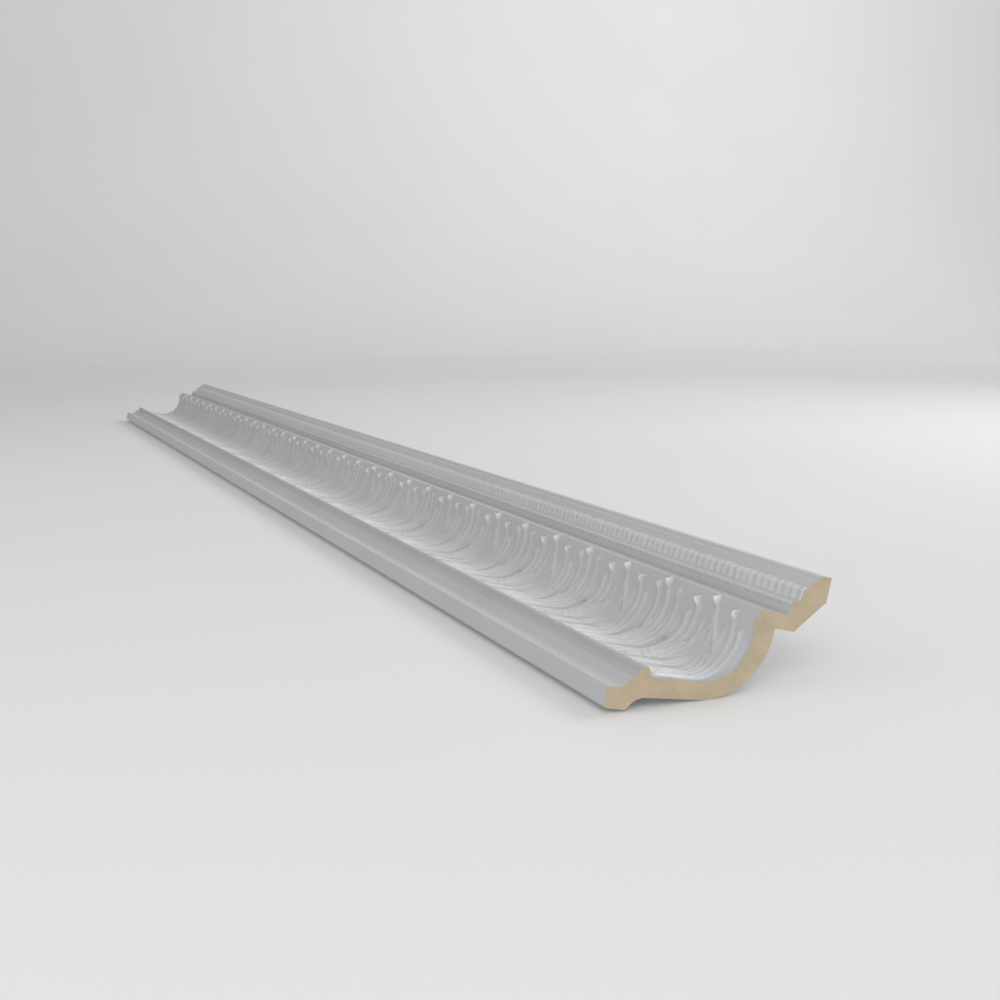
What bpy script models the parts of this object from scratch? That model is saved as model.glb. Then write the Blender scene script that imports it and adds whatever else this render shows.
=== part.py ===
"""A crown moulding: one straight length of moulded rigid foam with a leaf-carved cove.

The section stands as it is fixed: +Z runs up the wall, +Y points into the wall and +X runs along
the length. The origin is the middle of the narrow strip at the foot that is glued to the wall.
Section points are written as (up, out): up the wall from the lower edge, and out into the room.
"""

import math

import bpy
import numpy as np

# Driving dimensions, in metres
LENGTH = 2.400
HEIGHT = 0.1718
PROJECTION = 0.1188
REPEATS = 17
REPEAT = LENGTH / REPEATS
EDGE_ROUND = 0.0006

# The lip at the foot: a flat edge, a cavetto, a small step and a bead
LIP_CHAMFER = 0.0015
LIP_TOP = 0.0162
CAVETTO_START = 0.0085
CAVETTO_RADIUS = 0.0097
STEP_OUT = 0.0249
STEP_UP = 0.0236
BEAD_UP = 0.0281
BEAD_OUT = 0.0296
BEAD_RADIUS = 0.0038

# The cove: a flat floor, a quarter round and a short straight wall
COVE_ROOT = 0.0345
COVE_FLOOR = 0.0260
COVE_CENTRE_UP = 0.0737
COVE_RADIUS = 0.0400
COVE_TOP = 0.0866
COVE_WALL = COVE_CENTRE_UP + COVE_RADIUS
FLOOR_RUN = COVE_CENTRE_UP - COVE_ROOT
QUARTER_RUN = 0.5 * math.pi * COVE_RADIUS
COVE_RUN = FLOOR_RUN + QUARTER_RUN + COVE_TOP - COVE_FLOOR - COVE_RADIUS
ARRIS = 0.0002

# The shelf, the reeded band and the plain top fillets
SHELF_END = (0.1388, 0.0863)
RISER_TOP = (0.1407, 0.0918)
BAND_BEAD = ((0.1408, 0.0932), (0.1410, 0.0949), (0.1422, 0.0963))
BAND_FOOT = (0.1482, 0.0970)
BAND_FACE = ((0.1494, 0.0984), (0.1498, 0.1050))
LEDGE = (0.1548, 0.1094)
FILLET_STEP = ((0.1572, 0.1146), (0.1604, 0.1151))
TOP_EDGE = (0.1622, 0.1184)

# The back: a wall strip, a hollow behind the cove, a return and a chamfer up to the ceiling face
WALL_STRIP_END = 0.0178
STRIP_EDGE = (0.0194, 0.0010)
HOLLOW_LEAD = ((0.0256, 0.0083), (0.0219, 0.0050))
HOLLOW_FLOOR = 0.0103
HOLLOW_START = 0.0300
HOLLOW_CENTRE = (0.0741, 0.0702)
HOLLOW_RADIUS = 0.0566
RETURN_START = 0.1306
RETURN_END = 0.1484
RETURN_OUT = 0.0740
CEILING_FACE_START = 0.0987
CHAMFER_END_UP = 0.1700
CHAMFER_DROP = 0.0009
ORIGIN_UP = 0.5 * (LIP_CHAMFER + WALL_STRIP_END)

# The carving. Shares run up the cove: 0 at its root, 1 at the arris
BROAD_PHASE = 0.375
NARROW_PHASE = 0.882
COVE_ROWS = (0, 0.19, 0.36, 0.53, 0.68, 0.80, 0.90, 0.965, 1)
TIP_HEIGHT = 0.0062
RIB_HALF_WIDTH = 0.0025
RIB_FADE = 0.08
CURL_START, CURL_RUN = 0.085, 0.06
BODY_HEIGHT = 0.0012
BROAD_BODY, NARROW_BODY = 0.046, 0.019
MIDRIB_FOOT = 0.0032
OUTER_FLANK = 0.0038
END_MARGIN = 0.001
REEDS_PER_REPEAT = 15
REED_HEIGHT = 0.0020
REED_PHASE = 0.25
REED_OUTWARD = (-0.90, 0.43)

# Ribs on one side of a leaf's axis: the place of the spine as (share, distance from the axis)
OGEE_SPINE = (
    (0, 0.040), (0.30, 0.036), (0.49, 0.028), (0.61, 0.020), (0.715, 0.009), (0.80, 0.0048), (1, 0.0048),
)
HOOK_SPINE = ((0, 0.045), (0.30, 0.0415), (0.49, 0.0345), (0.65, 0.0275), (0.88, 0.025), (1, 0.028))
OUTER_SPINE = ((0, 0.0485), (0.30, 0.0455), (0.50, 0.0405), (0.62, 0.0375), (0.83, 0.0362))
SIDE_SPINE = ((0, 0.012), (0.50, 0.015), (0.86, 0.015), (1, 0.018))
MIDRIB_SPINE = ((0, 0.0), (1, 0.0))

# One rib: spine, share where it starts, share of its tip, height low down, height at the tip
BROAD_RIBS = (
    (MIDRIB_SPINE, 0.66, 1.000, 0.0018, TIP_HEIGHT),
    (OGEE_SPINE, 0.00, 0.750, 0.0026, 0.0020),
    (HOOK_SPINE, 0.00, 0.945, 0.0026, 0.0050),
    (OUTER_SPINE, 0.00, 0.840, 0.0026, 0.0030),
)
NARROW_RIBS = (
    (MIDRIB_SPINE, 0.00, 1.000, 0.0026, TIP_HEIGHT),
    (SIDE_SPINE, 0.00, 0.950, 0.0022, 0.0036),
)

PRIMER = (0.560, 0.565, 0.575)
PRIMER_ROUGHNESS = 0.6


def arc(centre, radius, start, end, steps):
    """Points on an arc, angles in degrees from the up direction towards the room."""
    angles = [math.radians(start + (end - start) * step / steps) for step in range(steps + 1)]
    return [(centre[0] + radius * math.cos(a), centre[1] + radius * math.sin(a)) for a in angles]


def lip_outline():
    """From the wall strip round the lip and the bead to the root of the cove."""
    cavetto = arc((CAVETTO_START, LIP_TOP + CAVETTO_RADIUS), CAVETTO_RADIUS, -90, -6, 5)
    bead = arc((BEAD_UP, BEAD_OUT), BEAD_RADIUS, 175, 22, 7)
    return [
        (LIP_CHAMFER, 0.0),
        (0.0, LIP_CHAMFER),
        (0.0, LIP_TOP - EDGE_ROUND),
        (EDGE_ROUND, LIP_TOP),
        *cavetto,
        (STEP_UP, STEP_OUT),
        *bead,
    ]


def cove_point(share):
    """The bare cove at a share of its arc length, and the direction out of its face."""
    along = share * COVE_RUN
    if along <= FLOOR_RUN:
        return (COVE_ROOT + along, COVE_FLOOR), (0.0, 1.0)
    if along >= FLOOR_RUN + QUARTER_RUN:
        return (COVE_WALL, COVE_TOP + along - COVE_RUN), (-1.0, 0.0)
    turn = (along - FLOOR_RUN) / COVE_RADIUS
    up = COVE_CENTRE_UP + COVE_RADIUS * math.sin(turn)
    out = COVE_FLOOR + COVE_RADIUS * (1 - math.cos(turn))
    return (up, out), (-math.sin(turn), math.cos(turn))


def top_outline():
    """The plain fillets above the band, and the ceiling face."""
    return [
        *FILLET_STEP,
        TOP_EDGE,
        (HEIGHT - EDGE_ROUND, PROJECTION),
        (HEIGHT, PROJECTION - EDGE_ROUND),
        (HEIGHT, CEILING_FACE_START),
        (CHAMFER_END_UP, CEILING_FACE_START - CHAMFER_DROP),
    ]


def back_outline():
    """From the chamfer back to the wall strip."""
    hollow = arc(HOLLOW_CENTRE, HOLLOW_RADIUS, 3, -83, 12)
    return [
        (RETURN_END, RETURN_OUT),
        (RETURN_START, RETURN_OUT),
        *hollow,
        (HOLLOW_START, HOLLOW_FLOOR),
        *HOLLOW_LEAD,
        STRIP_EDGE,
        (WALL_STRIP_END, 0.0),
    ]


def smooth_step(value):
    """0 below 0, 1 above 1, with a smooth S between."""
    clipped = np.clip(value, 0.0, 1.0)
    return clipped * clipped * (3.0 - 2.0 * clipped)


def along_spine(spine, share):
    """Distance of a spine from its leaf's axis at a share, on straight runs between its points."""
    shares, distances = zip(*spine)
    return np.interp(share, shares, distances)


def rib(along, share, spine, start, end, low_height, tip_height):
    """Height of one rib: a dome across its spine, low for most of its run, with a raised round tip."""
    cap = RIB_HALF_WIDTH / COVE_RUN
    closing = np.sqrt(1.0 - np.clip((share - end + cap) / cap, 0.0, 1.0) ** 2)
    across = (along - along_spine(spine, share)) / np.maximum(RIB_HALF_WIDTH * closing, 1e-6)
    dome = np.clip(1.0 - np.abs(across) ** 2.2, 0.0, 1.0) ** 0.65
    curl = smooth_step((share - end + CURL_START) / CURL_RUN)
    height = low_height + (tip_height - low_height) * curl
    return height * dome * smooth_step((share - start) / RIB_FADE) * (share < end)


def leaf(along, share, ribs, body_half_width):
    """The highest rib at each point, over a low flat dome that fades out half-way up the cove."""
    body = np.clip(1.0 - (along / body_half_width) ** 4, 0.0, 1.0)
    body = BODY_HEIGHT * body * smooth_step(share / 0.2) * (1.0 - smooth_step((share - 0.45) / 0.25))
    return np.max([body] + [rib(np.abs(along), share, *shape) for shape in ribs], axis=0)


def from_axis(station, phase):
    """Distance along the length from the nearest repeat of an axis."""
    turns = station / REPEAT - phase
    return (turns - np.round(turns)) * REPEAT


def leaf_height(station, share):
    """Carving of the cove: a broad leaf and a narrow one by turns, level with the cove at its root."""
    broad = leaf(from_axis(station, BROAD_PHASE), share, BROAD_RIBS, BROAD_BODY)
    narrow = leaf(from_axis(station, NARROW_PHASE), share, NARROW_RIBS, NARROW_BODY)
    return np.maximum(broad, narrow)


def broad_tracks():
    """Distances from a broad leaf's axis, by row, of its columns of points: each rib's crown,
    half-way between the outer three crowns, and a flank beyond the last."""
    midrib, ogee, hook, outer = (along_spine(shape[0], np.array(COVE_ROWS)) for shape in BROAD_RIBS)
    return [midrib, ogee, 0.5 * (ogee + hook), hook, 0.5 * (hook + outer), outer, outer + OUTER_FLANK]


def narrow_tracks():
    """The same for a narrow leaf: the midrib and its foot, the side rib and a flank beyond it."""
    midrib, side = (along_spine(shape[0], np.array(COVE_ROWS)) for shape in NARROW_RIBS)
    return [midrib, midrib + MIDRIB_FOOT, side, side + OUTER_FLANK]


def cove_columns():
    """Stations of every column by row: they follow the ribs, and the cut ends stay square."""
    columns = []
    for repeat in range(-1, REPEATS + 1):
        for phase, tracks in ((BROAD_PHASE, broad_tracks()), (NARROW_PHASE, narrow_tracks())):
            axis = (repeat + phase) * REPEAT
            columns += [axis + track for track in tracks]
            columns += [axis - track for track in tracks[1:]]
    inside = [column for column in columns if END_MARGIN < column.mean() < LENGTH - END_MARGIN]
    inside.sort(key=lambda column: column.mean())
    rows = np.clip(np.array(inside), END_MARGIN, LENGTH - END_MARGIN)
    near, far = np.zeros(len(COVE_ROWS)), np.full(len(COVE_ROWS), LENGTH)
    return np.vstack([near, rows, far])


def reed_height(station):
    """Carving of the band: even round reeds with narrow valleys between."""
    turns = station / REPEAT * REEDS_PER_REPEAT - REED_PHASE
    return REED_HEIGHT * (0.5 + 0.5 * np.cos(2.0 * np.pi * turns))


def reed_stations():
    """Both cut ends, and every crown and valley of the reeds between them."""
    halves = np.arange(2 * REEDS_PER_REPEAT * REPEATS)
    inner = (0.5 * halves + REED_PHASE) / REEDS_PER_REPEAT * REPEAT
    return np.concatenate([[0.0], inner, [LENGTH]])[:, None]


def placed(stations, points, outward=None, relief=0.0):
    """A grid of points in space: section points moved out by the relief, at each station."""
    section = np.tile(np.array(points, float), (len(stations), 1, 1))
    if outward is not None:
        section = section + np.array(outward) * np.asarray(relief)[..., None]
    x = np.broadcast_to(0.5 * LENGTH - stations, section.shape[:2])
    return np.stack([x, -section[..., 1], section[..., 0] - ORIGIN_UP], -1)


def strips():
    """The closed section as grids of points, in order: plain strips, the cove and the band."""
    plain = np.linspace(0.0, LENGTH, REPEATS + 1)[:, None]
    cove = [cove_point(share) for share in COVE_ROWS]
    columns = cove_columns()
    carved = placed(
        columns,
        [point for point, _ in cove],
        [outward for _, outward in cove],
        leaf_height(columns, np.array(COVE_ROWS)[None, :]),
    )
    reeds = reed_stations()
    full = np.array([0.0, 1.0, 1.0, 0.0])
    lean = np.array(REED_OUTWARD) / math.hypot(*REED_OUTWARD)
    band = placed(reeds, [BAND_FOOT, *BAND_FACE, LEDGE], lean, reed_height(reeds) * full)
    return [
        placed(plain, lip_outline()),
        carved,
        placed(plain, [(COVE_WALL + ARRIS, COVE_TOP + ARRIS), SHELF_END, RISER_TOP, *BAND_BEAD]),
        band,
        placed(plain, top_outline() + back_outline()),
    ]


def joined(first, second, stations):
    """Triangles between two rows of points with unlike stations, each step along the nearer one."""
    faces, i, j = [], 0, 0
    while i < len(first) - 1 or j < len(second) - 1:
        ahead = i + 1 < len(first) and (
            j + 1 == len(second) or stations[first[i + 1]] <= stations[second[j + 1]]
        )
        if ahead:
            faces.append((first[i], second[j], first[i + 1]))
            i += 1
        else:
            faces.append((first[i], second[j], second[j + 1]))
            j += 1
    return faces


def moulding_mesh():
    """The whole length as one closed surface, with a flat cut at each end."""
    grids = strips()
    points = np.concatenate([grid.reshape(-1, 3) for grid in grids])
    starts = np.cumsum([0] + [grid.shape[0] * grid.shape[1] for grid in grids])
    rows = [
        start + np.arange(grid.shape[0] * grid.shape[1]).reshape(grid.shape[:2])
        for start, grid in zip(starts, grids)
    ]
    faces = []
    for index, after in zip(rows, rows[1:] + rows[:1]):
        corners = (index[:-1, :-1], index[:-1, 1:], index[1:, 1:], index[1:, :-1])
        faces += np.stack(corners, -1).reshape(-1, 4).tolist()
        faces += joined(index[:, -1].tolist(), after[:, 0].tolist(), -points[:, 0])
    faces.append(np.concatenate([index[0] for index in rows])[::-1].tolist())
    faces.append(np.concatenate([index[-1] for index in rows]).tolist())
    mesh = bpy.data.meshes.new("crown_moulding")
    mesh.from_pydata(points.tolist(), [], faces)
    mesh.update()
    return mesh


def primed_foam():
    """Matt grey-white factory primer over rigid foam."""
    material = bpy.data.materials.new("primed_foam")
    material.use_nodes = True
    shader = material.node_tree.nodes["Principled BSDF"]
    shader.inputs["Base Color"].default_value = (*PRIMER, 1.0)
    shader.inputs["Roughness"].default_value = PRIMER_ROUGHNESS
    shader.inputs["Metallic"].default_value = 0.0
    return material


def main():
    for old in list(bpy.data.objects):
        bpy.data.objects.remove(old, do_unlink=True)
    collection = bpy.data.collections.new("Crown moulding")
    bpy.context.scene.collection.children.link(collection)
    mesh = moulding_mesh()
    mesh.materials.append(primed_foam())
    moulding = bpy.data.objects.new("crown_moulding", mesh)
    collection.objects.link(moulding)


main()
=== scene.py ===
import math
from typing import NamedTuple

import bpy
import numpy as np
from bpy.props import FloatProperty, FloatVectorProperty, IntProperty, PointerProperty
from mathutils import Matrix, Vector


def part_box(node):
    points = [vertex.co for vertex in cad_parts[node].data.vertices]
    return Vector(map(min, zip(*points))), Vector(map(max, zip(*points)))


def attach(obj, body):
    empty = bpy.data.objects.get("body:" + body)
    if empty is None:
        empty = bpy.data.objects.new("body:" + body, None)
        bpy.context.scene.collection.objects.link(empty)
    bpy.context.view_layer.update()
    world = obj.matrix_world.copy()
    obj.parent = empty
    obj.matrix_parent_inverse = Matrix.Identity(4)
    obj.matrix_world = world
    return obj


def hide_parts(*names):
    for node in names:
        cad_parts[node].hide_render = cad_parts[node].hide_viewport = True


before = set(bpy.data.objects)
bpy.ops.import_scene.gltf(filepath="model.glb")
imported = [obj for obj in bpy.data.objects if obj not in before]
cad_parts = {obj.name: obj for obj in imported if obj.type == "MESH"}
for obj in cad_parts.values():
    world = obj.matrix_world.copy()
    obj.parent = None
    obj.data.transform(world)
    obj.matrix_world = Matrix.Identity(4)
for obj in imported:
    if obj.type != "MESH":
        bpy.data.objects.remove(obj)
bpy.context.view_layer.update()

bl_info = {
    "name": "Leaf-carved crown moulding",
    "version": (1, 0, 0),
    "blender": (4, 5, 0),
    "location": "3D View > Sidebar > Moulding",
    "description": "A primed foam crown moulding with a carved cove, on a plain studio floor",
    "category": "Add Mesh",
}

NODE = "crown_moulding"
PIECE = "carved_moulding"
LOWEST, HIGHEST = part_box(NODE)

# The section, as (up the wall, out into the room) in metres, of the same sizes as the solid's
HEIGHT = 0.1718
PROJECTION = 0.1188
EDGE_ROUND = 0.0006
LIP_CHAMFER = 0.0015
LIP_TOP = 0.0162
CAVETTO_START = 0.0085
CAVETTO_RADIUS = 0.0097
CAVETTO_TURN = (-90, -6)
STEP_OUT = 0.0249
STEP_UP = 0.0236
STEP_ROUND = 0.0004
BEAD_CENTRE = (0.0281, 0.0296)
BEAD_RADIUS = 0.0038
BEAD_TURN = (175, 22)
COVE_ROOT = 0.0345
COVE_FLOOR = 0.0260
COVE_CENTRE_UP = 0.0737
COVE_RADIUS = 0.0400
COVE_TOP = 0.0866
COVE_WALL = COVE_CENTRE_UP + COVE_RADIUS
COVE_FLOOR_RUN = COVE_CENTRE_UP - COVE_ROOT
COVE_WALL_RUN = COVE_TOP - COVE_FLOOR - COVE_RADIUS
COVE_RUN = COVE_FLOOR_RUN + 0.5 * math.pi * COVE_RADIUS + COVE_WALL_RUN
ARRIS = 0.0002
SHELF_END = (0.1388, 0.0863)
BAND_GROOVE = (0.1407, 0.0918)
BAND_BEAD = ((0.1408, 0.0932), (0.1410, 0.0949), (0.1422, 0.0963))
BAND_FACE = ((0.1482, 0.0970), (0.1494, 0.0984), (0.1498, 0.1050))
LEDGE = (0.1548, 0.1094)
BAND_SECTION = (BAND_GROOVE, *BAND_BEAD, *BAND_FACE, LEDGE)
BEAD_OUTWARD = (-0.995, 0.100)
REED_OUTWARD = (-0.902, 0.431)
FILLET_STEP = ((0.1572, 0.1146), (0.1604, 0.1151))
TOP_EDGE = (0.1622, 0.1184)
WALL_STRIP_END = 0.0178
STRIP_EDGE = (0.0194, 0.0010)
HOLLOW_LEAD = ((0.0256, 0.0083), (0.0219, 0.0050))
HOLLOW_FLOOR = 0.0103
HOLLOW_START = 0.0300
HOLLOW_CENTRE = (0.0741, 0.0702)
HOLLOW_RADIUS = 0.0566
HOLLOW_TURN = (3, -83)
RETURN_START = 0.1306
RETURN_END = 0.1484
RETURN_OUT = 0.0740
CEILING_FACE_START = 0.0987
CHAMFER_END_UP = 0.1700
CHAMFER_DROP = 0.0009
ORIGIN_UP = 0.5 * (LIP_CHAMFER + WALL_STRIP_END)

# The carving: grid density, and the place of each axis as a share of a repeat
COLUMNS_PER_REPEAT = 85
COVE_ROWS = 46
BROAD_PHASE = 0.375
NARROW_PHASE = 0.882
BAND_PER_REPEAT = 5
BAND_GAP_PHASE = 0.25
BAND_STEPS = (0, 1, 1.5, 2, 2.5, 3, 4, 5, 5.25, 5.5, 5.75, 6, 6.25, 6.5, 6.75, 7)
CAVETTO_STEPS, BEAD_STEPS, HOLLOW_STEPS = 10, 12, 24
TALLEST_RELIEF = 0.0062
SHARP_ANGLE = math.radians(35.0)

# Ribs: how square their dome is, and where along the cove they rise, curl and fade in
DOME_POWERS = (2.2, 0.65)
RISE_START, RISE_RUN = 0.35, 0.35
CURL_START, CURL_RUN = 0.085, 0.06
RIB_FADE = 0.08

# Leaf bodies as (half width, height), and the sunk groove and eye outside a broad leaf
BROAD_BODY, NARROW_BODY = (0.046, 0.0010), (0.019, 0.0014)
BODY_RISE, BODY_FADE_START, BODY_FADE_RUN = 0.20, 0.48, 0.25
GROOVE_DEPTH = 0.0014
GROOVE_PLACE, GROOVE_WIDTH = 0.047, 0.003
GROOVE_START, GROOVE_RISE, GROOVE_END, GROOVE_FALL = 0.54, 0.05, 0.72, 0.12
DRILL_DEPTH = 0.0030
DRILL_PLACE, DRILL_WIDTH = 0.0525, 0.0036
DRILL_SHARE, DRILL_SPAN = 0.60, 0.030

# Band, in shares of a unit along it and in steps up its section
SCALLOP_HEIGHT, SCALLOP_STEP, SCALLOP_SPAN = 0.5, 1.6, 0.8
REEDS_PER_UNIT = 3
REED_MEAN, REED_SWING = 0.65, 0.35
MIDDLE_LOSS, MIDDLE_WIDTH = 0.25, 0.16
GAP_WIDTH = 0.07
REED_START, REED_RISE, REED_END, REED_FALL = 3.4, 1.4, 6.4, 0.5
DOT_HEIGHT, DOT_WIDTH, DOT_STEP, DOT_SPAN = 0.7, 0.12, 6.5, 0.35
BAND_FADE_IN, BAND_FADE_OUT = 0.4, 0.3

# Fine strokes between the spines, in number, and where up the cove they fade
STROKES = (12.0, 2.0, 1.0, 3.0, 4.0)
STROKES_FADE_START, STROKES_FADE_RUN = 0.12, 0.50

# Painted highlight and shade in the primer's colour: the relief that takes the full painted highlight,
# the painted highlight on each kind of place, and the painted shade on the bead and the shelf
FULL_HIGHLIGHT_RELIEF = 0.0016
RIB_HIGHLIGHT = 0.7
BAND_HIGHLIGHT = 0.25
BEAD_AND_SHELF_SHADE = -0.3
HIGHLIGHT_POWER = 1.5
COVE_HIGHLIGHT_FADE, HIGHLIGHT_FADE_START, HIGHLIGHT_FADE_RUN = 0.85, 0.30, 0.35
STEM_HIGHLIGHT, STEM_START, STEM_RUN = 0.20, 0.84, 0.08
TIP_HIGHLIGHT_START, TIP_HIGHLIGHT_RUN = 0.0028, 0.0022

# Grain of each surface as (mottle scale, tooth scale), and the tones of its mottle
PRIMER_GRAIN, PRIMER_MOTTLE = (7.0, 1100.0), (0.965, 1.035)
FOAM_GRAIN, FOAM_MOTTLE = (45.0, 700.0), (0.93, 1.07)
FLOOR_GRAIN, FLOOR_MOTTLE = (1.5, 400.0), (0.99, 1.01)
MOTTLE_RANGE = (0.3, 0.7)
NOISE_DETAILS = (("Mottle", 3.0), ("Tooth", 2.0))
SHEEN_SWING = 0.05
CELL_SCALE, CELL_RADIUS, CELL_TONES = 900.0, 0.6, (0.88, 1.05)
FOAM_SPECULAR = 0.2
FLOOR_ROUGHNESS = 0.95
FLOOR_LETS_THROUGH = 0.5

# Tones of the primer as multiples of its colour: painted highlight on the crowns, painted shade in the
# sunk places, and painted highlight and shade across the fine strokes; and bumps as (strength, height
# in metres)
CROWN_HIGHLIGHT_TONE = 1.75
SUNK_SHADE_TONE = 0.45
STROKE_LIGHT_AND_SHADE = (0.85, 1.14)
STROKE_BUMP = (0.8, 0.0004)
TOOTH_BUMP = (0.12, 0.0003)
CELL_BUMP = (0.35, 0.0004)


class Rib(NamedTuple):
    """One rib beside a leaf's axis: its spine as (share up the cove, distance from the axis), its
    half widths low and high, its heights at the root, half-way and at the tip, and its two ends."""

    spine: tuple
    widths: tuple
    heights: tuple
    start: float
    tip: float


AXIS_SPINE = ((0, 0.0), (1, 0.0))
OGEE_SPINE = (
    (0, 0.040), (0.30, 0.036), (0.49, 0.028), (0.61, 0.020), (0.715, 0.009), (0.83, 0.001),
)
HOOK_SPINE = (
    (0, 0.045), (0.30, 0.0415), (0.49, 0.0345), (0.65, 0.0275), (0.88, 0.0250), (0.945, 0.0268),
)
OUTER_SPINE = ((0, 0.0485), (0.30, 0.0455), (0.50, 0.0405), (0.62, 0.0375), (0.83, 0.0362))
SIDE_SPINE = ((0, 0.0120), (0.50, 0.0150), (0.86, 0.0150), (0.96, 0.0172))
BROAD_RIBS = (
    Rib(AXIS_SPINE, (0.0034, 0.0025), (0.0, 0.0014, 0.0062), 0.66, 1.000),
    Rib(OGEE_SPINE, (0.0026, 0.0026), (0.0024, 0.0026, 0.0020), 0.0, 0.860),
    Rib(HOOK_SPINE, (0.0024, 0.0022), (0.0024, 0.0017, 0.0052), 0.0, 0.945),
    Rib(OUTER_SPINE, (0.0022, 0.0024), (0.0022, 0.0020, 0.0026), 0.0, 0.835),
    Rib(((0, 0.034), (0.30, 0.030), (0.49, 0.0215), (0.60, 0.0125)),
        (0.0022, 0.0018), (0.0022, 0.0018, 0.0006), 0.0, 0.66),
    Rib(((0, 0.028), (0.30, 0.024), (0.47, 0.0150), (0.56, 0.0080)),
        (0.0022, 0.0018), (0.0020, 0.0016, 0.0006), 0.0, 0.60),
    Rib(AXIS_SPINE, (0.0026, 0.0020), (0.0014, 0.0010, 0.0004), 0.0, 0.52),
    Rib(((0, 0.0085), (0.50, 0.0035)), (0.0026, 0.0020), (0.0014, 0.0010, 0.0004), 0.0, 0.55),
    Rib(((0, 0.0345), (0.60, 0.0140), (0.80, 0.0158)),
        (0.0020, 0.0020), (0.0, 0.0014, 0.0012), 0.55, 0.82),
)
NARROW_RIBS = (
    Rib(AXIS_SPINE, (0.0034, 0.0025), (0.0018, 0.0019, 0.0062), 0.0, 1.000),
    Rib(SIDE_SPINE, (0.0024, 0.0020), (0.0018, 0.0014, 0.0034), 0.0, 0.950),
    Rib(((0, 0.0060), (0.50, 0.0075), (0.70, 0.0078)),
        (0.0022, 0.0020), (0.0018, 0.0016, 0.0008), 0.0, 0.74),
)

# The pose in which the length lies on the floor on its back, and the eye's place over its cut end
TILT = math.radians(13.2)
ACROSS = Vector((0.0, -math.sin(TILT), math.cos(TILT)))
OVERHEAD = Vector((0.0, -math.cos(TILT), -math.sin(TILT)))
AWAY = Vector((-1.0, 0.0, 0.0))
FLOOR_POINT = Vector((1.2, -0.0004, 0.0194 - ORIGIN_UP))
FLOOR_DROP = 0.0013
FLOOR_NEAR, FLOOR_FAR, FLOOR_HALF = -2.5, 5.0, 14.0
SWEEP_RADIUS, SWEEP_STEPS, WALL_HEIGHT = 2.5, 24, 4.0
EYE_ACROSS, EYE_AWAY, EYE_OVER = -0.4384, -0.7798, 0.28986
EYE = FLOOR_POINT + EYE_ACROSS * ACROSS + EYE_AWAY * AWAY + EYE_OVER * OVERHEAD
EYE_PITCH = math.radians(8.867)
EYE_YAW = math.radians(23.584)
LENS_MM = 46.8
SENSOR_MM = 36.0
NEAREST_SEEN = 0.01


class MouldingSizes(bpy.types.PropertyGroup):
    """Sizes that a fitter would ask for."""

    length: FloatProperty(
        name="Length", description="Length of the straight run", unit="LENGTH",
        default=HIGHEST.x - LOWEST.x, min=0.1,
    )
    repeats: IntProperty(
        name="Leaf repeats", description="Pairs of a broad and a narrow leaf along the run",
        default=17, min=1,
    )
    leaf_depth: FloatProperty(
        name="Leaf depth", description="How far the leaf tips stand off the cove", unit="LENGTH",
        default=TALLEST_RELIEF, min=0.0, max=0.012,
    )
    band_depth: FloatProperty(
        name="Band depth", description="How far the reeds stand off the band", unit="LENGTH",
        default=0.0020, min=0.0, max=0.004,
    )


class MouldingFinish(bpy.types.PropertyGroup):
    """Colours and sheen of the primer and of the bare foam."""

    primer_colour: FloatVectorProperty(
        name="Primer", description="Factory primer on every moulded face", subtype="COLOR", size=3,
        default=(0.530, 0.537, 0.547), min=0.0, max=1.0,
    )
    primer_roughness: FloatProperty(
        name="Primer roughness", description="Sheen of the primer", subtype="FACTOR",
        default=0.54, min=0.0, max=1.0,
    )
    foam_colour: FloatVectorProperty(
        name="Foam", description="Bare rigid foam on the two cut ends", subtype="COLOR", size=3,
        default=(0.615, 0.511, 0.358), min=0.0, max=1.0,
    )
    foam_roughness: FloatProperty(
        name="Foam roughness", description="Roughness of the bare foam", subtype="FACTOR",
        default=0.85, min=0.0, max=1.0,
    )


class StudioSettings(bpy.types.PropertyGroup):
    """The plain floor and its soft light."""

    floor_colour: FloatVectorProperty(
        name="Floor", description="Colour of the seamless floor", subtype="COLOR", size=3,
        default=(0.825, 0.825, 0.82), min=0.0, max=1.0,
    )
    key_power: FloatProperty(
        name="Key light", description="Soft light from the left of the eye", unit="POWER",
        default=15.0, min=0.0,
    )
    left_power: FloatProperty(
        name="Left light", description="Soft light from far to the left", unit="POWER",
        default=9.0, min=0.0,
    )
    wall_power: FloatProperty(
        name="Wall light", description="Soft light on the far wall of the sweep", unit="POWER",
        default=84.0, min=0.0,
    )
    back_power: FloatProperty(
        name="Back light", description="Soft light beyond the far end", unit="POWER",
        default=2.5, min=0.0,
    )
    side_power: FloatProperty(
        name="Side light", description="Soft light from the right on the open floor", unit="POWER",
        default=32.0, min=0.0,
    )
    sky_strength: FloatProperty(
        name="Sky", description="Strength of the even light from all round", default=0.51, min=0.0,
    )


def smooth_step(value):
    """0 below 0, 1 above 1, and 3x^2 - 2x^3 between."""
    clipped = np.clip(value, 0.0, 1.0)
    return clipped * clipped * (3.0 - 2.0 * clipped)


def arc(centre, radius, start, end, steps):
    """Points of a circle about a centre, from one angle to another in even steps of the angle."""
    angles = np.radians(np.linspace(start, end, steps + 1))
    return np.stack([centre[0] + radius * np.cos(angles), centre[1] + radius * np.sin(angles)], -1)


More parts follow.
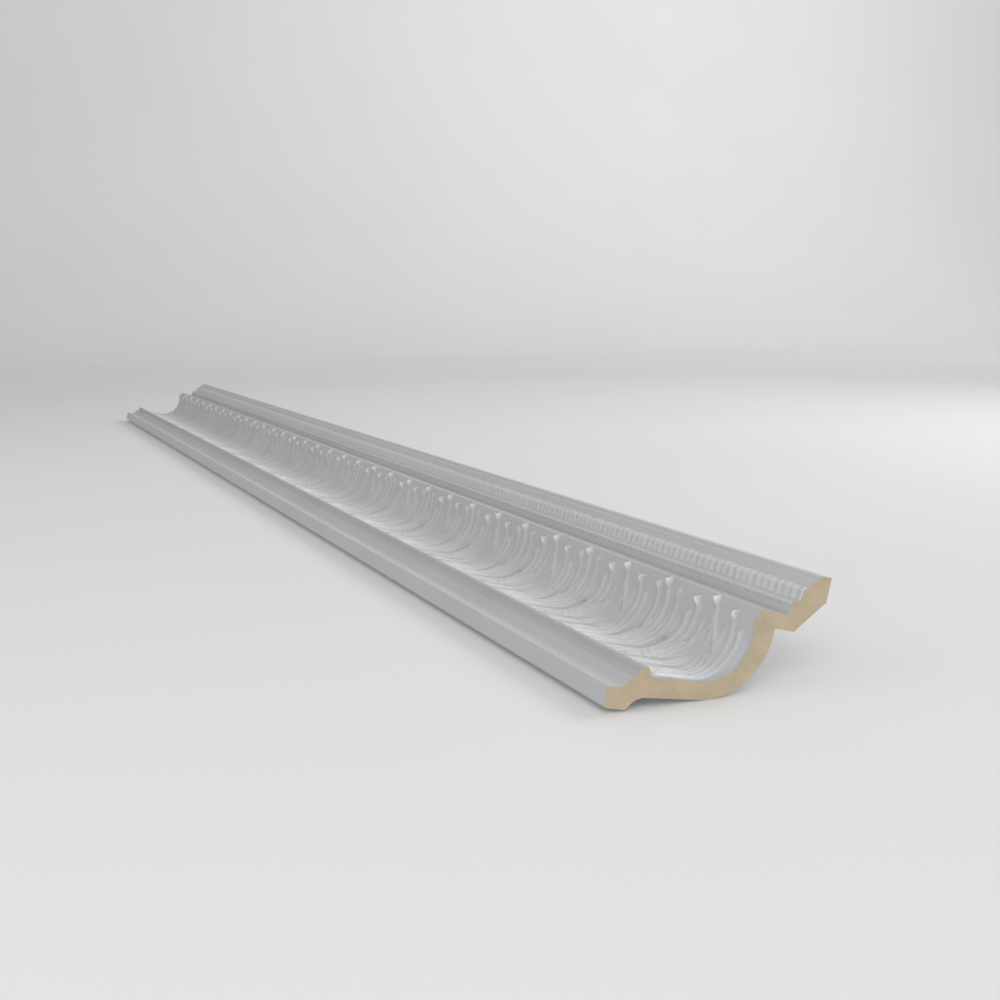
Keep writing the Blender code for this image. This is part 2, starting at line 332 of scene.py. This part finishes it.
def cove_points(shares):
    """The bare cove at shares of its run, and the direction out of its face.

    A level floor comes first, then a quarter round whose angle is run over radius, then a straight
    wall. The outward direction turns from straight out of the floor to straight down from the wall.
    """
    run = shares * COVE_RUN
    turn = np.clip((run - COVE_FLOOR_RUN) / COVE_RADIUS, 0.0, 0.5 * np.pi)
    floor = np.minimum(run, COVE_FLOOR_RUN)
    wall = np.maximum(run - COVE_FLOOR_RUN - 0.5 * np.pi * COVE_RADIUS, 0.0)
    up = COVE_ROOT + floor + COVE_RADIUS * np.sin(turn)
    out = COVE_FLOOR + COVE_RADIUS * (1.0 - np.cos(turn)) + wall
    return np.stack([up, out], -1), np.stack([-np.sin(turn), np.cos(turn)], -1)


def band_points(steps):
    """The bare band at steps along its section, a whole step at each corner, and its outward way.

    The bead at the foot moves down the wall, the reeds above it more into the room.
    """
    corners = np.arange(len(BAND_SECTION))
    points = [np.interp(steps, corners, axis) for axis in zip(*BAND_SECTION)]
    outward = np.where(steps[:, None] < len(BAND_BEAD) + 1, BEAD_OUTWARD, REED_OUTWARD)
    return np.stack(points, -1), outward


def bell(value):
    """1 at 0, falling away on both sides as exp(-x^2)."""
    return np.exp(-value * value)


def rib_height(along, share, rib):
    """Height of one rib at a distance from the axis.

    Across its spine the height is a dome, (1 - |a|^2.2)^0.65 of the distance over the half width.
    Along it the height goes from that at the root to that half-way, then up to that of the tip
    over the last stretch, and the width closes to a round end.
    """
    shares, distances = zip(*rib.spine)
    cap = rib.widths[1] / COVE_RUN
    closing = np.sqrt(1.0 - np.clip((share - rib.tip + cap) / cap, 0.0, 1.0) ** 2)
    rise = smooth_step((share - RISE_START) / RISE_RUN)
    width = (rib.widths[0] + (rib.widths[1] - rib.widths[0]) * rise) * closing
    across = (along - np.interp(share, shares, distances)) / np.maximum(width, 1e-6)
    dome = np.clip(1.0 - np.abs(across) ** DOME_POWERS[0], 0.0, 1.0) ** DOME_POWERS[1]
    low = rib.heights[0] + (rib.heights[1] - rib.heights[0]) * rise
    curl = smooth_step((share - rib.tip + CURL_START) / CURL_RUN)
    height = low + (rib.heights[2] - low) * curl
    return height * dome * smooth_step((share - rib.start) / RIB_FADE) * (share < rib.tip)


def from_axis(station, phase, repeat):
    """Distance along the length from the nearest repeat of an axis, without its sign."""
    turns = station / repeat - phase
    return np.abs(turns - np.round(turns)) * repeat


def body(along, share, half_width, height):
    """A low flat dome under a leaf, 1 - a^4 across, that fades out half-way up the cove."""
    across = np.clip(1.0 - (along / half_width) ** 4, 0.0, 1.0)
    fade = 1.0 - smooth_step((share - BODY_FADE_START) / BODY_FADE_RUN)
    return height * across * smooth_step(share / BODY_RISE) * fade


def leaf_height(station, share, sizes):
    """Carving of the cove: the highest of the ribs and bodies, less two sunk places by each leaf.

    A shallow groove lies just outside the broad leaf, a bell across and a plateau up the cove. A
    drilled eye sits at its lower end, a bell both ways.
    """
    repeat = sizes.length / sizes.repeats
    broad = from_axis(station, BROAD_PHASE, repeat)
    narrow = from_axis(station, NARROW_PHASE, repeat)
    ribs = [rib_height(broad, share, rib) for rib in BROAD_RIBS]
    ribs += [rib_height(narrow, share, rib) for rib in NARROW_RIBS]
    bodies = [body(broad, share, *BROAD_BODY), body(narrow, share, *NARROW_BODY)]
    groove = GROOVE_DEPTH * bell((broad - GROOVE_PLACE) / GROOVE_WIDTH)
    groove = groove * smooth_step((share - GROOVE_START) / GROOVE_RISE)
    groove = groove * (1.0 - smooth_step((share - GROOVE_END) / GROOVE_FALL))
    drilled = DRILL_DEPTH * bell((broad - DRILL_PLACE) / DRILL_WIDTH)
    drilled = drilled * bell((share - DRILL_SHARE) / DRILL_SPAN)
    crowns = np.max(ribs, axis=0) + np.max(bodies, axis=0)
    return (crowns - groove - drilled) * sizes.leaf_depth / TALLEST_RELIEF


def band_height(station, step, sizes):
    """Carving of the band, as sums over each unit between two deep gaps.

    Two round scallops hang on the bead, |sin| of the place in the unit under a bell across it;
    three reeds stand on the face above as a raised cosine, the middle one lower; one dot sits at
    the head, a bell both ways.
    """
    turns = station * sizes.repeats / sizes.length * BAND_PER_REPEAT - BAND_GAP_PHASE
    place = turns - np.floor(turns) - 0.5
    off = np.abs(place)
    scallops = SCALLOP_HEIGHT * np.sqrt(np.sin(np.pi * np.clip(2.0 * off, 0.0, 1.0)))
    scallops = scallops * bell((step - SCALLOP_STEP) / SCALLOP_SPAN)
    reeds = REED_MEAN + REED_SWING * np.cos(2.0 * np.pi * REEDS_PER_UNIT * place)
    reeds = reeds * (1.0 - MIDDLE_LOSS * bell(place / MIDDLE_WIDTH))
    reeds = reeds * (1.0 - bell((off - 0.5) / GAP_WIDTH))
    reeds = reeds * smooth_step((step - REED_START) / REED_RISE)
    reeds = reeds * (1.0 - smooth_step((step - REED_END) / REED_FALL))
    dots = DOT_HEIGHT * bell(off / DOT_WIDTH) * bell((step - DOT_STEP) / DOT_SPAN)
    edges = smooth_step(step / BAND_FADE_IN)
    edges = edges * smooth_step((len(BAND_SECTION) - 1 - step) / BAND_FADE_OUT)
    return (scallops + reeds + dots) * edges * sizes.band_depth


def painted_light_and_shade(relief, share, carving):
    """Painted light and shade in the primer's colour: 0 on bare faces, up to 1 of painted highlight on
    crowns and down to -1 of painted shade in the sunk places. In the cove the painted highlight fades
    half-way up, but comes back on the stems and as bright painted highlights on the raised tips."""
    painted_tone = np.clip(relief / FULL_HIGHLIGHT_RELIEF, 0.0, 1.0)
    if carving is leaf_height:
        # Painted highlight on the crowns, fading half-way up the cove and coming back on the stems
        highlight_up_cove = 1.0 - COVE_HIGHLIGHT_FADE * smooth_step((share - HIGHLIGHT_FADE_START) / HIGHLIGHT_FADE_RUN)
        highlight_up_cove = highlight_up_cove + STEM_HIGHLIGHT * smooth_step((share - STEM_START) / STEM_RUN)
        # Painted highlight on the raised tips
        tip_highlight = smooth_step((relief - TIP_HIGHLIGHT_START) / TIP_HIGHLIGHT_RUN)
        # Painted shade in the sunk groove and the drilled eye
        sunk = np.clip((relief + GROOVE_DEPTH) / DRILL_DEPTH, -1.0, 0.0)
        return np.maximum(RIB_HIGHLIGHT * painted_tone ** HIGHLIGHT_POWER * highlight_up_cove, tip_highlight) + sunk
    # Painted highlight on the crowns of the band's carving
    return BAND_HIGHLIGHT * painted_tone


def strokes(station, share, sizes):
    """Place across the fine strokes of the leaves, counted in strokes, and how plainly they show.

    The count grows evenly from spine to spine, from a broad leaf's axis to the next narrow one, so
    a line of one count follows the ribs. The strokes show low in the cove, 1 less a smooth step.
    """
    half = 0.5 * sizes.length / sizes.repeats
    along = from_axis(station, BROAD_PHASE, 2.0 * half)
    edges = [np.interp(share, *zip(*spine)) for spine in (OGEE_SPINE, HOOK_SPINE, OUTER_SPINE)]
    edges = [0.0, *edges, half - np.interp(share, *zip(*SIDE_SPINE)), half]
    gaps = zip(STROKES, edges[:-1], edges[1:])
    count = sum(number * np.clip((along - low) / (high - low), 0.0, 1.0) for number, low, high in gaps)
    show = 1.0 - smooth_step((share - STROKES_FADE_START) / STROKES_FADE_RUN)
    return count, np.broadcast_to(show, count.shape)


def strips():
    """The closed section as runs of rows, in order: plain runs, and the two carved ones.

    Each run is its points, their outward ways, their shares of the run and its carving. A plain
    run has no outward ways and no carving, and its painted shade in place of the shares: painted
    shade on the bead and the shelf, none elsewhere.
    """
    lip = np.concatenate([
        [(LIP_CHAMFER, 0.0), (0.0, LIP_CHAMFER), (0.0, LIP_TOP - EDGE_ROUND), (EDGE_ROUND, LIP_TOP)],
        arc((CAVETTO_START, LIP_TOP + CAVETTO_RADIUS), CAVETTO_RADIUS, *CAVETTO_TURN, CAVETTO_STEPS),
        [(STEP_UP - STEP_ROUND, STEP_OUT), (STEP_UP, STEP_OUT + STEP_ROUND)],
        arc(BEAD_CENTRE, BEAD_RADIUS, *BEAD_TURN, BEAD_STEPS),
    ])
    shelf = np.array([(COVE_WALL + ARRIS, COVE_TOP + ARRIS), SHELF_END])
    top = np.array([
        *FILLET_STEP, TOP_EDGE, (HEIGHT - EDGE_ROUND, PROJECTION), (HEIGHT, PROJECTION - EDGE_ROUND),
        (HEIGHT, CEILING_FACE_START), (CHAMFER_END_UP, CEILING_FACE_START - CHAMFER_DROP),
        (RETURN_END, RETURN_OUT), (RETURN_START, RETURN_OUT),
    ])
    back = np.concatenate([
        arc(HOLLOW_CENTRE, HOLLOW_RADIUS, *HOLLOW_TURN, HOLLOW_STEPS),
        [(HOLLOW_START, HOLLOW_FLOOR), *HOLLOW_LEAD, STRIP_EDGE, (WALL_STRIP_END, 0.0)],
    ])
    cove_shares, band_steps = np.linspace(0, 1, COVE_ROWS), np.array(BAND_STEPS)
    lip_shade = np.zeros(len(lip))
    # Painted shade on the bead, as on the shelf below
    lip_shade[-BEAD_STEPS - 1:] = BEAD_AND_SHELF_SHADE
    return [
        (lip, None, lip_shade, None),
        (*cove_points(cove_shares), cove_shares, leaf_height),
        # Painted shade on the shelf
        (shelf, None, BEAD_AND_SHELF_SHADE, None),
        (*band_points(band_steps), band_steps, band_height),
        (np.concatenate([top, back]), None, 0.0, None),
    ]


def grid(points, outward, shares, carving, stations, sizes):
    """Places and painted light and shade of one run: each section point moved out by the carving, at
    each station.

    A plain run has its painted shade in place of its shares.
    """
    moved = np.tile(points, (len(stations), 1, 1))
    painted_tone = np.broadcast_to(shares, moved.shape[:2])
    if carving is not None:
        relief = carving(stations[:, None], shares[None, :], sizes)
        moved = moved + outward[None] * relief[..., None]
        painted_tone = painted_light_and_shade(relief, shares[None, :], carving)
    x = np.broadcast_to((0.5 * sizes.length - stations)[:, None], painted_tone.shape)
    return np.stack([x, -moved[..., 1], moved[..., 0] - ORIGIN_UP], -1), painted_tone


def quads(index):
    """Four-sided faces between neighbouring stations and rows of a grid of vertex numbers."""
    return np.stack([index[:-1, :-1], index[:-1, 1:], index[1:, 1:], index[1:, :-1]], -1).reshape(-1, 4)


def fans(sparse, dense, dense_first):
    """One flat face a repeat, between a row with a point a repeat and a row with many."""
    per = (len(dense) - 1) // (len(sparse) - 1)
    starts = np.arange(len(sparse) - 1)
    run = dense[starts[:, None] * per + np.arange(per + 1)[None, :]]
    if dense_first:
        return np.concatenate([run[:, :1], sparse[:-1, None], sparse[1:, None], run[:, :0:-1]], 1)
    return np.concatenate([sparse[:-1, None], run, sparse[1:, None]], 1)


def moulding_mesh(sizes):
    """The whole length as one closed surface.

    Carved runs have a fine grid, plain runs one station a repeat, flat faces join the two, and a
    flat cut closes each end. Each point keeps its painted highlight and shade as an attribute.
    """
    fine = np.linspace(0.0, sizes.length, COLUMNS_PER_REPEAT * sizes.repeats + 1)
    coarse = fine[::COLUMNS_PER_REPEAT]
    places, painted_tones, counts, shows, indices, total = [], [], [], [], [], 0
    for points, outward, shares, carving in strips():
        stations = coarse if carving is None else fine
        at, painted_tone = grid(points, outward, shares, carving, stations, sizes)
        places.append(at.reshape(-1, 3))
        painted_tones.append(painted_tone.ravel())
        count, show = np.zeros(painted_tone.shape), np.zeros(painted_tone.shape)
        if carving is leaf_height:
            count, show = strokes(stations[:, None], shares[None, :], sizes)
        counts.append(count.ravel())
        shows.append(show.ravel())
        indices.append(total + np.arange(painted_tone.size).reshape(painted_tone.shape))
        total += painted_tone.size
    faces = []
    for index, after in zip(indices, indices[1:] + indices[:1]):
        faces += quads(index).tolist()
        row, next_row = index[:, -1], after[:, 0]
        if len(row) == len(next_row):
            faces += quads(np.stack([row, next_row], -1)).tolist()
        elif len(row) < len(next_row):
            faces += fans(row, next_row, False).tolist()
        else:
            faces += fans(next_row, row, True).tolist()
    faces.append(np.concatenate([index[0] for index in indices])[::-1].tolist())
    faces.append(np.concatenate([index[-1] for index in indices]).tolist())
    mesh = bpy.data.meshes.new(PIECE)
    mesh.from_pydata(np.concatenate(places).tolist(), [], faces)
    # Painted highlight and shade per point, and the fine strokes that become painted highlight and
    # shade lines and bumps
    for name, values in (("painted_light_and_shade", painted_tones), ("strokes", counts), ("strokes_show", shows)):
        attribute = mesh.attributes.new(name, "FLOAT", "POINT")
        attribute.data.foreach_set("value", np.concatenate(values).astype(np.float32))
    mesh.update()
    mesh.shade_smooth()
    mesh.set_sharp_from_angle(angle=SHARP_ANGLE)
    cuts = np.zeros(len(mesh.polygons), np.int32)
    cuts[-2:] = 1
    mesh.polygons.foreach_set("material_index", cuts)
    return mesh


def socket(tree, name, direction, kind, default=None):
    """One named socket on a node group."""
    made = tree.interface.new_socket(name=name, in_out=direction, socket_type=kind)
    if default is not None:
        made.default_value = default
    return made


def grain_group():
    """Shared surface grain: a broad mottle and a fine tooth, from Object coordinates.

    Mottle is low noise around a half and Tooth is fine noise, both 0 to 1, for colour and bump.
    """
    tree = bpy.data.node_groups.get("surface_grain")
    if tree:
        return tree
    tree = bpy.data.node_groups.new("surface_grain", "ShaderNodeTree")
    socket(tree, "Mottle Scale", "INPUT", "NodeSocketFloat", 6.0)
    socket(tree, "Tooth Scale", "INPUT", "NodeSocketFloat", 900.0)
    socket(tree, "Mottle", "OUTPUT", "NodeSocketFloat")
    socket(tree, "Tooth", "OUTPUT", "NodeSocketFloat")
    nodes, links = tree.nodes, tree.links
    start, end = nodes.new("NodeGroupInput"), nodes.new("NodeGroupOutput")
    place = nodes.new("ShaderNodeTexCoord")
    for name, detail in NOISE_DETAILS:
        noise = nodes.new("ShaderNodeTexNoise")
        noise.inputs["Detail"].default_value = detail
        links.new(place.outputs["Object"], noise.inputs["Vector"])
        links.new(start.outputs[name + " Scale"], noise.inputs["Scale"])
        links.new(noise.outputs["Fac"], end.inputs[name])
    return tree


def new_material(name, roughness):
    """A material with a plain Principled shader, and its nodes, links and shader."""
    material = bpy.data.materials.new(name)
    material.use_nodes = True
    nodes, links = material.node_tree.nodes, material.node_tree.links
    shader = nodes["Principled BSDF"]
    shader.inputs["Roughness"].default_value = roughness
    return material, nodes, links, shader


def grain_node(nodes, mottle_scale, tooth_scale):
    """The shared grain placed in a material with its own scales."""
    node = nodes.new("ShaderNodeGroup")
    node.node_tree = grain_group()
    node.inputs["Mottle Scale"].default_value = mottle_scale
    node.inputs["Tooth Scale"].default_value = tooth_scale
    return node


def ranged(nodes, links, value, low, high, start=0.0, end=1.0):
    """A value mapped from one range to another."""
    node = nodes.new("ShaderNodeMapRange")
    node.inputs["From Min"].default_value = start
    node.inputs["From Max"].default_value = end
    node.inputs["To Min"].default_value = low
    node.inputs["To Max"].default_value = high
    links.new(value, node.inputs["Value"])
    return node.outputs["Result"]


def times(nodes, links, first, second):
    """The product of two values."""
    node = nodes.new("ShaderNodeMath")
    node.operation = "MULTIPLY"
    links.new(first, node.inputs[0])
    links.new(second, node.inputs[1])
    return node.outputs[0]


def tinted(nodes, links, colour, value):
    """A colour scaled by a value that varies over the surface."""
    node = nodes.new("ShaderNodeVectorMath")
    node.operation = "SCALE"
    node.inputs[0].default_value = colour
    links.new(value, node.inputs["Scale"])
    return node.outputs["Vector"]


def bumped(nodes, links, height, bump, under=None):
    """A normal from a height, over another normal if there is one."""
    node = nodes.new("ShaderNodeBump")
    node.inputs["Strength"].default_value, node.inputs["Distance"].default_value = bump
    links.new(height, node.inputs["Height"])
    if under:
        links.new(under, node.inputs["Normal"])
    return node.outputs["Normal"]


def attribute_value(nodes, name):
    """The value of one attribute of the mesh."""
    node = nodes.new("ShaderNodeAttribute")
    node.attribute_name = name
    return node.outputs["Fac"]


def stroke_lines(nodes, links):
    """Fine strokes, as the sine of a whole turn a stroke times how plainly they show."""
    turn = nodes.new("ShaderNodeMath")
    turn.operation = "MULTIPLY"
    turn.inputs[1].default_value = 2.0 * math.pi
    links.new(attribute_value(nodes, "strokes"), turn.inputs[0])
    wave = nodes.new("ShaderNodeMath")
    wave.operation = "SINE"
    links.new(turn.outputs[0], wave.inputs[0])
    return times(nodes, links, wave.outputs[0], attribute_value(nodes, "strokes_show"))


def primer_material(finish):
    """Grey-white primer: a faint mottle, a fine sprayed tooth, painted highlights on the crowns of
    the carving and of its fine strokes, and painted shade in its sunk places, on the bead and the shelf
    and between the strokes."""
    material, nodes, links, shader = new_material("primed_surface", finish.primer_roughness)
    grain = grain_node(nodes, *PRIMER_GRAIN)
    # Painted highlight on the crowns and painted shade in the sunk places, on the bead and on the
    # shelf, from the mesh attribute
    painted_value = attribute_value(nodes, "painted_light_and_shade")
    crowns = ranged(nodes, links, painted_value, 1.0, CROWN_HIGHLIGHT_TONE)
    sunk = ranged(nodes, links, painted_value, SUNK_SHADE_TONE, 1.0, -1.0, 0.0)
    # Fine strokes as painted highlight and shade lines in the colour, as well as bumps
    lines = stroke_lines(nodes, links)
    stroke_light_and_shade = ranged(nodes, links, lines, *STROKE_LIGHT_AND_SHADE, -1.0, 1.0)
    mottle = ranged(nodes, links, grain.outputs["Mottle"], *PRIMER_MOTTLE, *MOTTLE_RANGE)
    shade = times(nodes, links, times(nodes, links, crowns, sunk), mottle)
    shade = times(nodes, links, shade, stroke_light_and_shade)
    links.new(tinted(nodes, links, finish.primer_colour, shade), shader.inputs["Base Color"])
    sheen = ranged(nodes, links, grain.outputs["Mottle"], finish.primer_roughness - SHEEN_SWING,
                   finish.primer_roughness + SHEEN_SWING, *MOTTLE_RANGE)
    links.new(sheen, shader.inputs["Roughness"])
    tooth = bumped(nodes, links, grain.outputs["Tooth"], TOOTH_BUMP)
    links.new(bumped(nodes, links, lines, STROKE_BUMP, tooth), shader.inputs["Normal"])
    return material


def foam_material(finish):
    """Sawn rigid foam: fine open cells over a faint mottle."""
    material, nodes, links, shader = new_material("cut_foam", finish.foam_roughness)
    grain = grain_node(nodes, *FOAM_GRAIN)
    place = nodes.new("ShaderNodeTexCoord")
    cells = nodes.new("ShaderNodeTexVoronoi")
    cells.inputs["Scale"].default_value = CELL_SCALE
    links.new(place.outputs["Object"], cells.inputs["Vector"])
    pits = ranged(nodes, links, cells.outputs["Distance"], *CELL_TONES, 0.0, CELL_RADIUS)
    mottle = ranged(nodes, links, grain.outputs["Mottle"], *FOAM_MOTTLE, *MOTTLE_RANGE)
    shade = times(nodes, links, pits, mottle)
    links.new(tinted(nodes, links, finish.foam_colour, shade), shader.inputs["Base Color"])
    links.new(bumped(nodes, links, cells.outputs["Distance"], CELL_BUMP), shader.inputs["Normal"])
    shader.inputs["Specular IOR Level"].default_value = FOAM_SPECULAR
    return material


def floor_material(studio):
    """Seamless matt paper, seen from its upper side alone so that it never hides the length.

    Half of the light scattered towards its upper side goes on through it, and as much comes in
    from below, so the hollow side that lies on it isn't left black.
    """
    material, nodes, links, shader = new_material("studio_floor", FLOOR_ROUGHNESS)
    grain = grain_node(nodes, *FLOOR_GRAIN)
    mottle = ranged(nodes, links, grain.outputs["Mottle"], *FLOOR_MOTTLE, *MOTTLE_RANGE)
    links.new(tinted(nodes, links, studio.floor_colour, mottle), shader.inputs["Base Color"])
    shader.inputs["Specular IOR Level"].default_value = 0.0
    clear, side, path, mix = (nodes.new(kind) for kind in (
        "ShaderNodeBsdfTransparent", "ShaderNodeNewGeometry", "ShaderNodeLightPath",
        "ShaderNodeMixShader"))
    scattered = ranged(nodes, links, path.outputs["Is Diffuse Ray"], 0.0, FLOOR_LETS_THROUGH)
    either = nodes.new("ShaderNodeMath")
    either.operation = "MAXIMUM"
    links.new(side.outputs["Backfacing"], either.inputs[0])
    links.new(scattered, either.inputs[1])
    links.new(either.outputs[0], mix.inputs["Fac"])
    links.new(shader.outputs["BSDF"], mix.inputs[1])
    links.new(clear.outputs["BSDF"], mix.inputs[2])
    links.new(mix.outputs["Shader"], nodes["Material Output"].inputs["Surface"])
    return material


def floor_mesh():
    """A strip carried across the view: level underfoot, then a quarter round up to a wall.

    The side profile is a line away from the eye, an arc of the sweep's radius and a line up; each
    point is that far away from, and over, a place on the floor below the foot of the near end. The
    floor is level with the lowest line of the rounded back, a little under that foot.
    """
    turn = np.radians(np.linspace(0.0, 90.0, SWEEP_STEPS + 1))
    away = FLOOR_FAR + SWEEP_RADIUS * np.sin(turn)
    over = SWEEP_RADIUS * (1.0 - np.cos(turn))
    away = np.concatenate([[FLOOR_NEAR], away, [FLOOR_FAR + SWEEP_RADIUS]])
    over = np.concatenate([[0.0], over, [SWEEP_RADIUS + WALL_HEIGHT]])
    base, far, up = (np.array(v) for v in (FLOOR_POINT - FLOOR_DROP * OVERHEAD, AWAY, OVERHEAD))
    line = base + away[:, None] * far + over[:, None] * up
    side = np.array(ACROSS) * FLOOR_HALF
    places = np.stack([line - side, line + side], 1)
    index = np.arange(places.shape[0] * 2).reshape(-1, 2)
    mesh = bpy.data.meshes.new("studio_floor")
    mesh.from_pydata(places.reshape(-1, 3).tolist(), [], quads(index).tolist())
    mesh.update()
    mesh.shade_smooth()
    return mesh


def studio_place(across, away, over):
    """A place across, away from and over the foot of the near end."""
    return FLOOR_POINT + across * ACROSS + away * AWAY + over * OVERHEAD


def soft_light(name, at, aim, power, size, spread=180.0):
    """A square soft light at one studio place, turned to another, with its spread in degrees."""
    data = bpy.data.lights.new(name, "AREA")
    data.energy = power
    data.size = size
    data.spread = math.radians(spread)
    light = bpy.data.objects.new(name, data)
    light.location = studio_place(*at)
    light.rotation_euler = (light.location - studio_place(*aim)).to_track_quat("Z", "Y").to_euler()
    bpy.context.scene.collection.objects.link(light)
    return light


def eye():
    """The camera over the near cut end, looking along the length, pitched down and turned right."""
    level = ACROSS * math.sin(EYE_YAW) + AWAY * math.cos(EYE_YAW)
    forward = level * math.cos(EYE_PITCH) - OVERHEAD * math.sin(EYE_PITCH)
    right = ACROSS * math.cos(EYE_YAW) - AWAY * math.sin(EYE_YAW)
    up = level * math.sin(EYE_PITCH) + OVERHEAD * math.cos(EYE_PITCH)
    data = bpy.data.cameras.new("eye")
    data.lens = LENS_MM
    data.sensor_width = SENSOR_MM
    data.clip_start = NEAREST_SEEN
    camera = bpy.data.objects.new("eye", data)
    turned = Matrix((right, up, -forward)).transposed().to_4x4()
    turned.translation = EYE
    camera.matrix_world = turned
    bpy.context.scene.collection.objects.link(camera)
    bpy.context.scene.camera = camera


class MOULDING_OT_carved_length(bpy.types.Operator):
    """Make the carved, primed length with its two cut foam ends"""

    bl_idname = "moulding.carved_length"
    bl_label = "Carved length"

    def execute(self, context):
        scene = context.scene
        mesh = moulding_mesh(scene.moulding_sizes)
        mesh.materials.append(primer_material(scene.moulding_finish))
        mesh.materials.append(foam_material(scene.moulding_finish))
        piece = bpy.data.objects.new(PIECE, mesh)
        scene.collection.objects.link(piece)
        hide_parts(NODE)
        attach(piece, "root")
        return {"FINISHED"}


class MOULDING_OT_studio(bpy.types.Operator):
    """Make the seamless floor, the soft lights, the even sky and the camera"""

    bl_idname = "moulding.studio"
    bl_label = "Studio"

    def execute(self, context):
        scene = context.scene
        studio = scene.moulding_studio
        mesh = floor_mesh()
        mesh.materials.append(floor_material(studio))
        floor = bpy.data.objects.new("studio_floor", mesh)
        scene.collection.objects.link(floor)
        soft_light("key_light", (-0.8, -1.5, 1.4), (0.0, 0.1, 0.0), studio.key_power, 1.2)
        soft_light("left_light", (-2.5, 0.5, 1.5), (0.0, 0.8, 0.0), studio.left_power, 2.0)
        soft_light("back_light", (2.0, 3.4, 1.6), (0.4, 0.7, 0.0), studio.back_power, 2.0, 90.0)
        soft_light("side_light", (2.8, 0.6, 1.8), (1.2, 0.9, 0.0), studio.side_power, 1.5)
        soft_light("wall_light", (5.0, 1.5, 4.5), (4.0, 8.0, 2.5), studio.wall_power, 3.0, 120.0)
        scene.view_settings.view_transform = "Standard"
        world = bpy.data.worlds.new("even_sky")
        world.use_nodes = True
        sky = world.node_tree.nodes["Background"]
        sky.inputs["Color"].default_value = (1.0, 1.0, 1.0, 1.0)
        sky.inputs["Strength"].default_value = studio.sky_strength
        scene.world = world
        eye()
        return {"FINISHED"}


class MOULDING_PT_sidebar(bpy.types.Panel):
    """Sizes, finish and studio of the moulding"""

    bl_idname = "MOULDING_PT_sidebar"
    bl_label = "Crown moulding"
    bl_space_type = "VIEW_3D"
    bl_region_type = "UI"
    bl_category = "Moulding"

    def draw(self, context):
        scene = context.scene
        for title, group, operator in (
            ("Sizes", scene.moulding_sizes, None),
            ("Finish", scene.moulding_finish, MOULDING_OT_carved_length),
            ("Studio", scene.moulding_studio, MOULDING_OT_studio),
        ):
            box = self.layout.box()
            box.label(text=title)
            for name in group.bl_rna.properties.keys():
                if name not in ("rna_type", "name"):
                    box.prop(group, name)
            if operator:
                box.operator(operator.bl_idname)


CLASSES = (
    MouldingSizes,
    MouldingFinish,
    StudioSettings,
    MOULDING_OT_carved_length,
    MOULDING_OT_studio,
    MOULDING_PT_sidebar,
)
SETTINGS = {
    "moulding_sizes": MouldingSizes,
    "moulding_finish": MouldingFinish,
    "moulding_studio": StudioSettings,
}


def register():
    for cls in CLASSES:
        bpy.utils.register_class(cls)
    for name, group in SETTINGS.items():
        setattr(bpy.types.Scene, name, PointerProperty(type=group))


def unregister():
    for name in SETTINGS:
        delattr(bpy.types.Scene, name)
    for cls in reversed(CLASSES):
        bpy.utils.unregister_class(cls)


def main():
    register()
    bpy.ops.moulding.carved_length()
    bpy.ops.moulding.studio()


if __name__ == "__main__":
    main()
